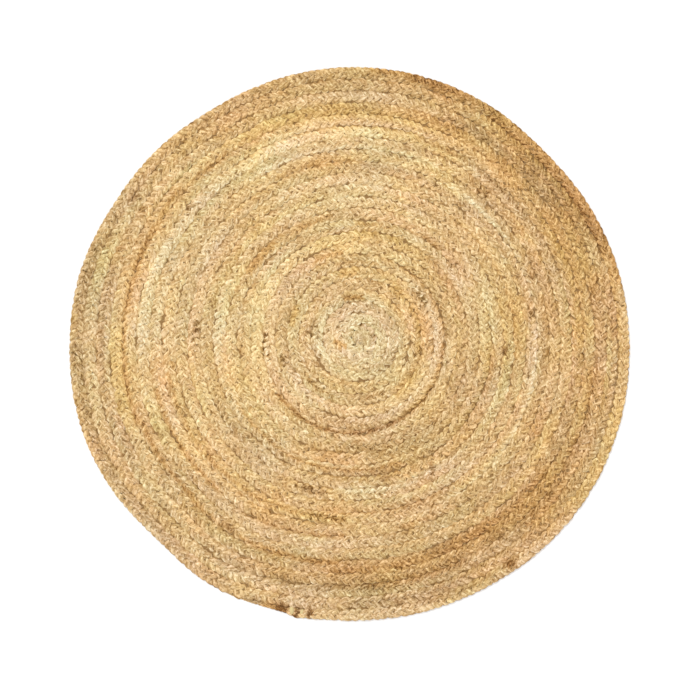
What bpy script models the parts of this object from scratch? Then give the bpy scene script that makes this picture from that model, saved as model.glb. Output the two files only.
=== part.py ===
"""A round rug of braided jute: one three-strand braid, wound flat from the middle outwards and sewn side to side.

Metres, +Z up. The rug lies on the plane z = 0, and its origin is under the middle of its outline's box.
Each round of the braid is a raised rib on the top, and the underside is flat.
Run it with blender --background --python part.py, or from Blender's text editor.
"""

import math

import bmesh
import bpy
import numpy as np

# Driving sizes, in metres unless the name says otherwise
BRAID_WIDTH_MIDDLE = 0.0251  # one round, near the middle of the rug
BRAID_WIDTH_RIM = 0.0264  # one round at the rim, where the braid is wound more loosely
ROUNDS = 23.32  # turns of the braid's middle line, from the centre to its end
END_ANGLE_DEG = 240.5  # where the braid ends, counter-clockwise from +X
WINDING_CENTRE = (0.0162, 0.0179)  # where the first round lies, from the middle of the outline
THICKNESS = 0.0100  # from the floor to the crest of a round
GROOVE_HEIGHT = 0.0068  # from the floor to the bottom of the groove between two rounds

# How far the winding is drawn out at the rim, round the rug counter-clockwise from +X
RIM_PUSH_MM = (
    # angle in degrees, push in millimetres
    (0, -3.0),
    (15, -2.5),
    (30, -4.0),
    (45, -7.0),
    (60, 0.5),
    (75, 5.0),
    (90, 5.5),
    (105, 2.5),
    (120, -2.5),
    (135, 1.5),
    (150, 3.5),
    (165, 13.5),
    (180, 15.5),
    (195, 18.0),
    (210, 12.5),
    (225, 1.5),
    (240, 8.5),
    (255, -8.0),
    (270, -20.5),
    (285, -17.5),
    (300, -13.5),
    (315, -6.5),
    (330, -2.5),
    (345, -2.0),
)

# The braid's width near its end, as a share of its full width: a thin tail, then the bound end
TAPER = (
    # degrees before the end, share of the width
    (0.0, 0.0),
    (6.0, 0.17),
    (12.0, 0.36),
    (15.5, 0.5),
    (18.0, 0.8),
    (24.0, 0.83),
    (30.0, 1.0),
)

# Where a round's shoulders lie across it, as shares of its width from its inner groove
SHOULDERS = (0.27, 0.73)
# The rim's rounded side, downwards from the last round's outer edge
RIM_SIDE_MM = (
    # outwards, height above the floor
    (0.6, 4.4),
    (0.0, 1.6),
    (-1.8, 0.0),
)

STEPS_PER_ROUND = 60
START_TURN = -0.25  # the first step, in turns, with the braid's inner edge on the centre point
SMOOTH_UNDER_DEG = 30.0
JUTE = (0.665, 0.445, 0.205, 1.0)  # linear colour of the straw-coloured yarn
MM = 0.001


def around(rows, angle):
    """The smooth closed curve through rows of an angle in degrees and a value, read at angles in radians: a cubic
    between each two rows, with the slope at a row worked out from the rows on both sides of it."""
    at, value = np.array(rows).T
    at = np.concatenate([at[-2:] - 360, at, at[:2] + 360])
    value = np.concatenate([value[-2:], value, value[:2]])
    slope = np.gradient(value, at)
    degrees = np.mod(np.degrees(angle), 360)
    row = np.searchsorted(at, degrees, side="right") - 1
    step = at[row + 1] - at[row]
    part = (degrees - at[row]) / step
    rest = 1 - part
    from_values = rest**2 * (1 + 2 * part) * value[row] + part**2 * (1 + 2 * rest) * value[row + 1]
    from_slopes = step * part * rest * (rest * slope[row] - part * slope[row + 1])
    return from_values + from_slopes


def place(level, angle):
    """The point of the rug at a level, in rounds from the middle, and an angle in radians. Rings of one level are
    circles about the winding's centre in the middle of the rug, and take on the rug's own outline towards its rim."""
    outwards = (level / ROUNDS) ** 2
    even = BRAID_WIDTH_MIDDLE * level + (BRAID_WIDTH_RIM - BRAID_WIDTH_MIDDLE) * level**2 / (2 * ROUNDS)
    radius = even + outwards * around(RIM_PUSH_MM, angle) * MM
    x = WINDING_CENTRE[0] * (1 - outwards) + radius * np.cos(angle)
    y = WINDING_CENTRE[1] * (1 - outwards) + radius * np.sin(angle)
    return np.stack([x, y], axis=-1)


def braid_steps():
    """The turns wound at each step along the braid, the angle there, which falls as the braid winds on clockwise, and
    the share of its full width that the braid has there."""
    count = math.ceil((ROUNDS - START_TURN) * STEPS_PER_ROUND)
    turns = ROUNDS - np.arange(count, -1, -1) / STEPS_PER_ROUND
    angle = math.radians(END_ANGLE_DEG) + 2 * math.pi * (ROUNDS - turns)
    width = np.interp((ROUNDS - turns) * 360, *np.array(TAPER).T)
    return turns, angle, width


def ring_points(level, angle, height):
    """Points at one level and height for each step, as (x, y, z)."""
    flat = place(level, angle)
    return np.column_stack([flat, np.full(len(flat), height)])


def rug_mesh():
    """The rug's solid: a spiral of ribs on top, a rounded rim and a flat underside."""
    turns, angle, width = braid_steps()
    inner_level = np.maximum(turns - 0.5, 0)
    outer_level = turns - 0.5 + width
    last = len(turns) - 1
    shape = bmesh.new()

    def points(coordinates):
        return [shape.verts.new(point) for point in coordinates]

    across = outer_level - inner_level
    outer = points(ring_points(outer_level, angle, GROOVE_HEIGHT)[:-1])
    shoulders = [
        points(ring_points(inner_level + share * across, angle, THICKNESS)[:-1]) for share in SHOULDERS
    ]
    centre = shape.verts.new((*WINDING_CENTRE, GROOVE_HEIGHT))

    # The braid ends in a point, on the outer edge of the round before it
    tip = outer[last - STEPS_PER_ROUND]
    outer.append(tip)
    for line in shoulders:
        line.append(tip)
    inner = [centre] * STEPS_PER_ROUND + outer[: len(outer) - STEPS_PER_ROUND]
    lines = [inner, *shoulders, outer]

    def face(*corners):
        different = list(dict.fromkeys(corners))
        if len(different) > 2:
            shape.faces.new(different)

    for near, far in zip(lines[:-1], lines[1:]):
        for i in range(last):
            face(near[i], near[i + 1], far[i + 1], far[i])
    face(centre, *(line[0] for line in lines[1:]))

    # The rim's side goes down from the last round's edge to the flat underside
    rim = slice(last - STEPS_PER_ROUND, last)
    above = outer[rim]
    edge = place(outer_level[rim], angle[rim])
    out = np.column_stack([np.cos(angle[rim]), np.sin(angle[rim])])
    for outwards, height in RIM_SIDE_MM:
        below = points(
            np.column_stack([edge + outwards * MM * out, np.full(len(edge), height * MM)])
        )
        for i in range(STEPS_PER_ROUND):
            after = (i + 1) % STEPS_PER_ROUND
            face(above[i], above[after], below[after], below[i])
        above = below
    face(*above)

    mesh = bpy.data.meshes.new("braided_rug")
    shape.to_mesh(mesh)
    shape.free()
    return mesh


def centre_on_floor(mesh):
    """Moves the mesh so that the middle of its box, seen from above, is at the origin."""
    flat = np.array([vertex.co[:2] for vertex in mesh.vertices])
    middle = (flat.min(axis=0) + flat.max(axis=0)) / 2
    for vertex in mesh.vertices:
        vertex.co.x -= middle[0]
        vertex.co.y -= middle[1]


def jute_material():
    material = bpy.data.materials.new("jute")
    material.use_nodes = True
    shader = material.node_tree.nodes["Principled BSDF"]
    shader.inputs["Base Color"].default_value = JUTE
    shader.inputs["Roughness"].default_value = 0.9
    shader.inputs["Metallic"].default_value = 0.0
    return material


def braided_rug():
    mesh = rug_mesh()
    centre_on_floor(mesh)
    mesh.shade_smooth()
    mesh.set_sharp_from_angle(angle=math.radians(SMOOTH_UNDER_DEG))
    mesh.materials.append(jute_material())
    rug = bpy.data.objects.new("braided_rug", mesh)
    bpy.context.scene.collection.objects.link(rug)
    return rug


def main():
    for old in list(bpy.data.objects):
        bpy.data.objects.remove(old)
    braided_rug()


main()
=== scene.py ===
"""A round rug of braided jute, dressed around its plain solid.

One flat braid of three strands is wound from the middle outwards and sewn side to side. The strands are
worked out one by one, in the winding that the solid has, over the rug's pressed body. Sewing thread lies
in the grooves between the rounds, turns of yarn bind the braid's end, and loose fibres stand out on top.
Metres, +Z up, and the rug lies on the plane z = 0.
"""

import math  # noqa: E402

import bpy  # noqa: E402
import numpy as np  # noqa: E402
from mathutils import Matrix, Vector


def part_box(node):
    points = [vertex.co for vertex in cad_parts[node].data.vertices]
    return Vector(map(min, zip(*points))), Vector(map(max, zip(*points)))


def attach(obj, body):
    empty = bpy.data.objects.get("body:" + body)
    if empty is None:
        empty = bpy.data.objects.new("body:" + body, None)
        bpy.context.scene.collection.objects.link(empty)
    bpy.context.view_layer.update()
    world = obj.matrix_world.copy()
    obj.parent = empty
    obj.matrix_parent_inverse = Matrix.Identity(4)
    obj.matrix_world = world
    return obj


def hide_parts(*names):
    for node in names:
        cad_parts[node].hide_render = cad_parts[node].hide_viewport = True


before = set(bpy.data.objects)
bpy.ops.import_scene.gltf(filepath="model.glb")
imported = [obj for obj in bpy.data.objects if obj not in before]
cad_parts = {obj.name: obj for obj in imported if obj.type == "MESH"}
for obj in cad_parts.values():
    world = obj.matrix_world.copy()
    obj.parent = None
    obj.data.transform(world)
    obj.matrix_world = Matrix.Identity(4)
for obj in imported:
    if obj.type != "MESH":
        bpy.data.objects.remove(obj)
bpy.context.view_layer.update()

bl_info = {
    "name": "Round Braided Jute Rug",
    "version": (1, 0, 0),
    "blender": (4, 5, 0),
    "location": "View3D > Sidebar > Jute rug",
    "description": "Makes a round braided jute rug, strand by strand, and its stage",
    "category": "Add Mesh",
}

CAD_NODE = "braided_rug"
RUG_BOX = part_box(CAD_NODE)
MM = 0.001
TURN = 2 * math.pi

# The winding, as in the plain solid
START_TURN = -0.25  # where the braid starts, in turns, with its inner edge on the centre point
WINDING_CENTRE = (0.0162, 0.0179)  # where the first round lies, from the middle of the outline
RIM_PUSH_MM = (
    # angle in degrees, push in millimetres
    (0, -3.0),
    (15, -2.5),
    (30, -4.0),
    (45, -7.0),
    (60, 0.5),
    (75, 5.0),
    (90, 5.5),
    (105, 2.5),
    (120, -2.5),
    (135, 1.5),
    (150, 3.5),
    (165, 13.5),
    (180, 15.5),
    (195, 18.0),
    (210, 12.5),
    (225, 1.5),
    (240, 8.5),
    (255, -8.0),
    (270, -20.5),
    (285, -17.5),
    (300, -13.5),
    (315, -6.5),
    (330, -2.5),
    (345, -2.0),
)

# The braid's width near its end, as a share of its full width: a thin tail, then the bound end
TAPER = (
    # degrees before the end, share of the width
    (0.0, 0.0),
    (6.0, 0.17),
    (12.0, 0.36),
    (15.5, 0.5),
    (18.0, 0.8),
    (24.0, 0.83),
    (30.0, 1.0),
)

# How strongly the strands stand out from one another, and how dark the painted shade down their sides is,
# from the middle of the rug to its rim
RELIEF = (
    # level in rounds, share of the full relief
    (0, 1),
    (8, 0.95),
    (12, 0.8),
    (17, 0.78),
    (20, 0.92),
    (22, 1.2),
)

# Broad patches of lighter, darker and warmer yarn, as bells over angle and level
PATCHES = (
    # middle in degrees, level in rounds, reach in degrees, reach in rounds, lighter, warmer
    (45, 21.5, 55, 3, -0.12, 0.1),
    (0, 19, 50, 3.5, -0.08, 0.1),
    (300, 20.6, 50, 2.2, -0.2, 0.08),
    (180, 22, 60, 1.6, -0.05, -0.1),
    (140, 17.2, 50, 1.3, 0.08, -0.1),
    (160, 9, 45, 1.5, 0.08, -0.05),
    (300, 11, 45, 1.8, -0.05, 0.05),
    (40, 5, 70, 1.2, -0.02, 0.25),
    (0, 0, 180, 3.2, 0.06, -0.85),
    (270, 17.5, 55, 3, -0.1, 0),
    (270, 10.5, 60, 2.6, -0.09, 0),
    (120, 12.8, 40, 1, 0.08, 0),
    (50, 11, 45, 1.6, -0.06, 0),
    (45, 0.8, 70, 1.2, -0.12, 0),
    (165, 2.7, 70, 1.2, 0.09, -0.25),
    (60, 5.5, 180, 2.5, 0, -0.12),
    (40, 16.3, 40, 1.2, -0.07, 0),
    (285, 14.5, 30, 1.5, -0.06, 0),
    (5, 21.5, 25, 1.5, 0.06, 0),
    (222, 21.8, 20, 1.5, -0.06, 0),
)

# Stretches of the braid that are lighter, darker or warmer than the yarn round them
BANDS = (
    # from and to in degrees, from and to in level, half width in rounds, lighter, warmer
    (18, 62, 22.6, 22.4, 0.45, -0.26, 0.3),
    (54, 80, 22.9, 22.75, 0.3, -0.2, 0.2),
    (12, 88, 23.3, 23.1, 0.25, -0.2, 0.3),
    (83, 89, 22.5, 22.5, 0.3, -0.18, 0),
    (0, 20, 22, 21.9, 0.5, -0.1, 0.1),
    (20, 60, 21.6, 21.6, 0.4, -0.1, 0.1),
    (30, 72, 20.8, 20.4, 0.55, -0.16, -0.05),
    (60, 76, 20, 20, 0.2, -0.14, 0.2),
    (155, 196, 22.5, 22.3, 0.45, -0.14, -0.1),
    (190, 245, 22.3, 22.2, 0.4, -0.07, -0.2),
    (268, 300, 22.2, 22.3, 0.35, -0.1, -0.25),
    (143, 148, 22, 22, 0.25, -0.2, 0),
    (160, 245, 20.6, 20.5, 0.18, -0.12, -0.1),
    (246, 262, 20.3, 20.4, 0.4, -0.08, 0.05),
    (262, 300, 20.65, 20.7, 0.5, -0.26, 0.05),
    (225, 315, 21.3, 21.3, 0.5, 0.04, -0.28),
    (300, 330, 20.9, 20.8, 0.6, -0.14, 0.15),
    (262, 330, 19.6, 19.5, 0.5, -0.1, 0.3),
    (330, 360, 20.5, 20.4, 0.5, -0.08, 0.1),
    (122, 138, 19.15, 19.25, 0.15, -0.14, 0.6),
    (136, 148, 19.65, 19.3, 0.15, -0.16, 0.7),
    (146, 162, 19.25, 19.1, 0.15, -0.22, 0.8),
    (158, 202, 18.97, 18.85, 0.14, -0.2, 0.8),
    (198, 226, 18.55, 18.6, 0.14, -0.2, 0.7),
    (222, 234, 18.85, 18.7, 0.14, -0.18, 0.5),
    (232, 239, 18.5, 18.5, 0.25, -0.26, 0.1),
    (238, 268, 18.6, 18.9, 0.2, -0.14, 0.35),
    (0, 120, 19.5, 19.3, 0.8, 0, 0.3),
    (0, 30, 17, 16.8, 0.8, -0.12, 0.2),
    (16, 25, 15.95, 15.9, 0.15, -0.08, 0.2),
    (32, 58, 16.8, 16.9, 0.55, -0.15, 0.15),
    (46, 55, 16.9, 16.8, 0.3, -0.14, 0),
    (58, 82, 17.2, 17.1, 0.4, -0.08, -0.1),
    (62, 125, 16.35, 16.4, 0.2, 0.18, -0.25),
    (80, 200, 17.6, 17.6, 0.5, 0.11, -0.2),
    (36, 74, 18.15, 18, 0.13, -0.32, 0),
    (34, 72, 17.82, 17.7, 0.16, 0.13, -0.05),
    (120, 142, 17.2, 17.2, 0.3, -0.12, -0.2),
    (150, 182, 16.5, 16.3, 0.35, 0.12, -0.2),
    (192, 230, 16.78, 16.84, 0.15, -0.19, 0.35),
    (236, 270, 16.7, 16.8, 0.18, -0.16, 0.2),
    (281, 297, 16.3, 16.3, 0.2, -0.18, 0.1),
    (70, 102, 16.05, 16, 0.1, -0.14, -0.2),
    (330, 360, 17.2, 17.1, 0.6, -0.1, 0.15),
    (188, 226, 15.6, 15.64, 0.15, -0.16, 0.3),
    (220, 246, 15.64, 15.2, 0.15, -0.18, 0.3),
    (242, 268, 15.2, 15.3, 0.15, -0.16, 0.3),
    (215, 220, 15.4, 15.4, 0.18, -0.3, 0.1),
    (261, 267, 15.5, 15.5, 0.2, -0.2, 0.1),
    (0, 90, 14.9, 15, 0.12, -0.12, -0.15),
    (0, 60, 15.5, 15.5, 0.3, 0.07, -0.2),
    (34, 56, 15.6, 15.5, 0.15, 0.14, -0.2),
    (84, 118, 15.2, 15.4, 0.3, -0.12, 0.2),
    (300, 360, 15.6, 15.4, 0.2, 0.13, -0.2),
    (328, 360, 15.1, 14.9, 0.12, -0.12, -0.1),
    (255, 295, 14.6, 14.5, 0.3, -0.07, 0.2),
    (173, 179, 13.4, 13.4, 0.25, -0.3, 0),
    (150, 180, 14.1, 14, 0.15, -0.1, 0),
    (193, 198, 14.2, 14.2, 0.2, -0.18, 0),
    (201, 212, 13.3, 13.2, 0.2, -0.15, 0.1),
    (248, 261, 13.15, 13.2, 0.25, -0.22, -0.1),
    (260, 296, 12.8, 13.1, 0.2, 0.18, -0.3),
    (290, 308, 12.8, 12.75, 0.2, 0.18, -0.3),
    (300, 345, 13.1, 12.7, 0.2, 0.12, -0.2),
    (344, 353, 13.4, 13.4, 0.2, -0.18, 0),
    (354.5, 358.5, 12.7, 12.7, 0.18, -0.8, -0.1),
    (0, 56, 13.5, 13.4, 0.4, -0.08, 0.15),
    (135, 142, 12.5, 12.2, 0.3, 0.18, -0.3),
    (60, 112, 12.2, 12.15, 0.25, 0.15, -0.1),
    (198, 226, 12.6, 12.6, 0.1, -0.12, 0.1),
    (279, 287, 12.1, 12, 0.2, -0.22, 0),
    (330, 360, 12.4, 12.2, 0.3, 0.08, -0.2),
    (205, 292, 11.25, 11.1, 0.15, -0.16, 0.3),
    (270, 335, 11.8, 11.6, 0.5, -0.09, 0.2),
    (335, 360, 11.7, 11.7, 0.25, -0.12, 0.2),
    (44, 60, 10.5, 10.4, 0.25, -0.12, 0.1),
    (98, 122, 10.8, 10.6, 0.25, -0.16, 0.2),
    (128, 150, 10.8, 10.8, 0.3, -0.15, 0.5),
    (70, 93, 9.9, 9.9, 0.12, -0.18, 0.3),
    (92, 104, 9.5, 9.5, 0.15, 0.12, -0.4),
    (165, 180, 11.3, 11.3, 0.4, 0.1, -0.15),
    (231, 239, 10.6, 10.6, 0.2, 0.08, -0.5),
    (120, 150, 9.6, 9.4, 0.25, 0.1, -0.2),
    (140, 210, 8.6, 8.3, 0.5, 0.1, -0.15),
    (184, 191, 9.7, 9.7, 0.3, -0.18, -0.1),
    (212, 268, 8.12, 8.08, 0.14, -0.4, 0.2),
    (264, 298, 8.08, 7.7, 0.14, -0.6, 0.1),
    (294, 332, 7.72, 7.48, 0.14, -0.32, 0.15),
    (328, 360, 7.5, 7.3, 0.16, -0.26, 0.15),
    (0, 60, 7.5, 7.3, 0.35, -0.17, 0.15),
    (66, 82, 7.8, 7.7, 0.25, -0.14, 0),
    (98, 120, 7.5, 7.6, 0.15, -0.2, 0.4),
    (122, 150, 7.9, 7.9, 0.12, -0.12, 0),
    (174, 181, 7.7, 7.7, 0.2, -0.22, -0.1),
    (72, 108, 6.6, 6.6, 0.15, -0.14, 0.2),
    (192, 201, 6.6, 6.5, 0.2, -0.18, -0.1),
    (0, 60, 5.6, 5.4, 0.4, -0.07, 0.45),
    (88, 108, 5.7, 5.7, 0.3, -0.09, 0.5),
    (150, 170, 5.8, 5.7, 0.25, -0.09, 0.45),
    (208, 245, 5.4, 5.3, 0.15, -0.16, 0.2),
    (268, 300, 5.2, 5, 0.18, -0.18, 0.15),
    (300, 360, 5.6, 5.4, 0.45, -0.13, 0.35),
    (158, 172, 4.05, 4.15, 0.15, -0.18, -0.1),
    (250, 285, 4.35, 4.2, 0.2, -0.09, -0.1),
    (80, 112, 3.45, 3.6, 0.2, -0.3, 0.8),
    (122, 134, 3.5, 3.7, 0.15, -0.2, -0.2),
    (166, 178, 3.5, 3.4, 0.15, -0.16, -0.2),
    (178, 218, 3.4, 3.1, 0.3, 0.12, -0.2),
    (322, 345, 3.6, 3.3, 0.15, -0.14, 0.1),
    (180, 215, 1.8, 1.4, 0.25, -0.16, 1.6),
    (0, 85, 1.4, 1.1, 0.12, -0.16, -0.2),
    (284, 304, 22.95, 22.95, 0.25, -0.2, 0),
    (304, 308.5, 23, 23, 0.35, -0.7, 0.4),
    (246, 252, 22.7, 22.9, 0.3, -0.1, -0.4),
    (250, 256, 22.9, 23.05, 0.35, -0.28, 0.5),
    # The next three rows are painted shade: the holes beside the turns of yarn that bind the braid's end
    (253.4, 256.9, 22.95, 23.15, 0.4, -2.5, 0.1),
    (257.9, 259.2, 23, 23.2, 0.4, -3, -0.3),
    (260.3, 262.2, 23.1, 23.2, 0.25, -1.8, 0.2),
    (253, 261, 22.3, 22.5, 0.5, 0.06, -0.5),
)

# Loosely braided stretches, where a chain of holes, painted as dark shade, shows between pale lobes
LOOSE = (
    # from and to in degrees, level, half width in rounds
    (247, 262, 13.1, 0.24),
    (171, 185, 13.3, 0.22),
    (172, 192, 7.8, 0.24),
    (192, 204, 6.5, 0.22),
    (254, 267, 15.3, 0.22),
    (5, 30, 1.3, 0.2),
    (62, 88, 1.4, 0.2),
    (162, 181, 4, 0.3),
    (26, 50, 6.6, 0.24),
    (47, 53, 16.8, 0.3),
)
LOOSE_END_DEG = 2.0  # over which such a stretch comes and goes
HOLE_PITCH = 0.0155  # from hole to hole
HOLE_SHIFT = 1.5  # how far a hole lies from its even place, in radians of the pitch
HOLE_SHIFT_OVER = 0.04  # length of braid in which that changes
HOLE_FROM = 0.1  # the cosine at which a hole begins
HOLE_EDGE = 0.6  # by how much more it is whole
HOLE_SHADE = 1.3  # how much darker the painted shade of a hole is
LOBE_PALE = 0.12  # how much paler a lobe is beside it

BAND_LIGHT = 0.76  # how strongly the patches and bands lighten or darken the yarn
BAND_WARMTH = 1.25  # how strongly they warm it
BAND_END_DEG = 4.0  # over which a band comes and goes
THIN_BAND = 0.4  # half width in rounds under which a darker band is stronger
THIN_BAND_MOST = 1.6  # how many times stronger at the most


def smooth(x):
    """0 below 0, 1 above 1 and 3x^2 - 2x^3 between them."""
    x = np.clip(x, 0, 1)
    return x * x * (3 - 2 * x)


def wander(seed, x, held=0.0):
    """A random line from -1 to 1 that has one value at each whole x and passes smoothly to the next one.
    A share held of each step stays at its value before that. Each line has a seed of its own, so that
    none changes with another."""
    values = np.random.default_rng(seed).uniform(-1, 1, int(np.max(x)) + 3)
    whole = np.floor(x).astype(int)
    part = smooth((x - whole - held) / (1 - held))
    return values[whole] * (1 - part) + values[whole + 1] * part


def rare(seed, x, share):
    """A random line that is 0 but for bumps up to 1, which take up about this share of x."""
    return np.clip(wander(seed, x) - (1 - 2 * share), 0, 1) / (2 * share)


def streaks_along(seed, across, along):
    """A random field from -1 to 1 that has one value at each whole pair of the two numbers and passes
    smoothly from one to the next."""
    rows, columns = np.floor(across).astype(int), np.floor(along).astype(int)
    values = np.random.default_rng(seed).uniform(-1, 1, (rows.max() + 2, columns.max() + 2))
    part, step = smooth(across - rows), smooth(along - columns)
    near = values[rows, columns] * (1 - step) + values[rows, columns + 1] * step
    far = values[rows + 1, columns] * (1 - step) + values[rows + 1, columns + 1] * step
    return near * (1 - part) + far * part


def around(rows, angle):
    """The smooth closed curve through rows of an angle in degrees and a value, read at angles in radians:
    a cubic between each two rows, with the slope at a row worked out from the rows on both sides of it."""
    at, value = np.array(rows).T
    at = np.concatenate([at[-2:] - 360, at, at[:2] + 360])
    value = np.concatenate([value[-2:], value, value[:2]])
    slope = np.gradient(value, at)
    degrees = np.mod(np.degrees(angle), 360)
    row = np.searchsorted(at, degrees, side="right") - 1
    step = at[row + 1] - at[row]
    part = (degrees - at[row]) / step
    rest = 1 - part
    from_values = rest**2 * (1 + 2 * part) * value[row] + part**2 * (1 + 2 * rest) * value[row + 1]
    from_slopes = step * part * rest * (rest * slope[row] - part * slope[row + 1])
    return from_values + from_slopes


def towards(angle):
    """Level vectors of length 1 at angles in radians."""
    return np.column_stack([np.cos(angle), np.sin(angle), np.zeros(len(angle))])


def aside(vectors):
    """Level vectors a quarter turn to the left of others: -y, x and 0."""
    return np.column_stack([-vectors[:, 1], vectors[:, 0], np.zeros(len(vectors))])


def length_property(name, description, default):
    """A length in a property group."""
    return bpy.props.FloatProperty(name=name, description=description, default=default, unit="LENGTH")


def colour_property(name, description, default):
    """A colour in a property group."""
    return bpy.props.FloatVectorProperty(
        name=name, description=description, default=default, size=3, subtype="COLOR"
    )


class RugSizes(bpy.types.PropertyGroup):
    """Sizes of the braid and of what is on it."""

    rounds: bpy.props.FloatProperty(
        name="Rounds", description="Turns of the braid from the centre to its end", default=23.32, min=3
    )
    width_middle: length_property("Braid width in the middle", "Width of one round near the middle", 0.0251)
    width_rim: length_property("Braid width at the rim", "Width of one round at the rim", 0.0264)
    end_angle: bpy.props.FloatProperty(
        name="End angle", description="Where the braid ends, counter-clockwise from +X",
        default=math.radians(240.5), subtype="ANGLE",
    )
    plait_length: length_property(
        "Plait length", "Length of braid in which a strand crosses over and back", 0.0432
    )
    strand_width: bpy.props.FloatProperty(
        name="Strand width", description="Width of a strand as a share of the braid", default=0.50,
        subtype="FACTOR",
    )
    strand_height: length_property("Strand height", "Thickness of a strand", 0.0058)
    twist: bpy.props.FloatProperty(
        name="Twist", description="Turns of a strand's yarns in each metre of it", default=6.0
    )
    crossing: length_property(
        "Crossing", "How far a strand rises and falls from the braid's mid height", 0.0010
    )
    stitch_pitch: length_property(
        "Stitch pitch", "Distance between two stitches that join the rounds", 0.027
    )
    fibres: bpy.props.IntProperty(
        name="Fibres", description="How many loose fibres stand out of the yarn", default=3600, min=0
    )


class RugColours(bpy.types.PropertyGroup):
    """Colours of the undyed yarn."""

    # Deep is painted shade, not a colour of the yarn: the darkest holes and hollows between the strands
    deep: colour_property("Deep", "Yarn in the holes", (0.13, 0.06, 0.012))
    brown: colour_property("Brown", "The darkest yarn in the open", (0.26, 0.14, 0.040))
    tan: colour_property("Tan", "Dark straw", (0.45, 0.275, 0.105))
    straw: colour_property("Straw", "The common yarn", (0.70, 0.495, 0.245))
    pale: colour_property("Pale", "The palest yarn", (0.93, 0.75, 0.44))
    # The body's colour is the yarn darkened with painted shade, as it shows deep between the strands
    body: colour_property("Body", "The pressed yarn deep between the strands", (0.27, 0.155, 0.057))
    binding: colour_property("Binding", "The yarn round the braid's end", (0.60, 0.47, 0.23))
    thread: colour_property("Thread", "The sewing thread", (0.55, 0.38, 0.18))
    fibre: colour_property("Fibre", "Loose fibres", (0.78, 0.61, 0.36))


class StageSettings(bpy.types.PropertyGroup):
    """The floor, the light and the camera."""

    floor: colour_property("Floor", "Colour of the floor", (0.93, 0.93, 0.93))
    sky: bpy.props.FloatProperty(
        name="Even light", description="Strength of the even light from all round", default=1.0
    )
    lamp: bpy.props.FloatProperty(name="Lamp", description="Strength of the soft lamp", default=1.35)
    lens: bpy.props.FloatProperty(
        name="Lens", description="Focal length of the camera, in millimetres", default=85
    )
    view_width: length_property("View width", "What the picture takes in at the rug", 1.508)
    view_middle: bpy.props.FloatVectorProperty(
        name="View middle", description="The point that the camera looks down on",
        default=(0.001, -0.013), size=2, subtype="XYZ", unit="LENGTH",
    )


def sizes():
    return bpy.context.scene.jute_sizes


def colours():
    return bpy.context.scene.jute_colours


RIM_POINTS = 1441  # at which the rim's line is worked out to find its box
RUN_STEPS = 720  # to a round, at which the braid's length is added up
# How much longer or shorter the plaits are, and the length of braid in which that changes
PLAIT_UNEVEN, PLAIT_UNEVEN_OVER = 0.08, 0.11
PLAIT_DRIFT, PLAIT_DRIFT_OVER = 0.07, 0.9
SHORTEST_PLAIT = 0.45  # at the tip of the braid, as a share of the full length
THINNEST = 0.25  # width of the braid under which its height stays as it is, as a share of its full width
THIN_HEIGHT = 0.35  # height of a braid with no width, as a share of its full height


def winding_point(level, angle):
    """The point of the rug at a level, in rounds from the middle, and an angle in radians, before the rug
    is centred. Rings of one level are circles about the winding's centre in the middle of the rug, and
    take on the rug's own outline towards its rim, with the square of the level."""
    size = sizes()
    outwards = (level / size.rounds) ** 2
    growth = (size.width_rim - size.width_middle) * level**2 / (2 * size.rounds)
    radius = size.width_middle * level + growth + outwards * around(RIM_PUSH_MM, angle) * MM
    x = WINDING_CENTRE[0] * (1 - outwards) + radius * np.cos(angle)
    y = WINDING_CENTRE[1] * (1 - outwards) + radius * np.sin(angle)
    return np.stack([x, y], axis=-1)


def turn_angle(turns):
    """The angle of the braid's middle line after so many turns. It falls, because the braid winds on
    clockwise."""
    size = sizes()
    return size.end_angle + TURN * (size.rounds - turns)


def edge_levels(turns):
    """The levels of the braid's inner and outer edge: half a round on each side of its middle line, but
    from the centre in the first half round, and with the outer edge coming in to the inner one over the
    taper at the end."""
    width = np.interp((sizes().rounds - turns) * 360, *np.array(TAPER).T)
    return np.maximum(turns - 0.5, 0), turns - 0.5 + width


def middle_shift():
    """How far the rug is moved to put the middle of its box on the solid's, from the last round's outer
    edge."""
    size = sizes()
    turns = size.rounds - np.linspace(0, 1, RIM_POINTS)
    edge = winding_point(edge_levels(turns)[1], turn_angle(turns))
    box = (edge.min(axis=0) + edge.max(axis=0)) / 2
    solid = np.array([(low + high) / 2 for low, high in zip(RUG_BOX[0][:2], RUG_BOX[1][:2])])
    return solid - box


def place(level, angle):
    """A point of the centred rug."""
    return winding_point(level, angle) + middle_shift()


def braid_run():
    """Turns, length along the braid in metres and count of plaits, at close steps along the whole braid.
    The plaits are a little longer and shorter from place to place, and shrink with the braid's width at
    its end."""
    size = sizes()
    turns = np.arange(START_TURN, size.rounds, 1 / RUN_STEPS)
    inner, outer = edge_levels(turns)
    line = place((inner + outer) / 2, turn_angle(turns))
    step = np.linalg.norm(np.diff(line, axis=0), axis=1)
    along = np.concatenate([[0], np.cumsum(step)])
    uneven = PLAIT_UNEVEN * wander(11, along / PLAIT_UNEVEN_OVER)
    length = size.plait_length * (1 + uneven + PLAIT_DRIFT * wander(12, along / PLAIT_DRIFT_OVER))
    length *= SHORTEST_PLAIT + (1 - SHORTEST_PLAIT) * (outer - inner)
    plaits = np.concatenate([[0], np.cumsum(step / length[1:])])
    return turns, along, plaits


def thinned(width):
    """How high the braid is at a share of its full width: down to about half of its height."""
    return THIN_HEIGHT + (1 - THIN_HEIGHT) * np.clip(width, THINNEST, 1)


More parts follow.
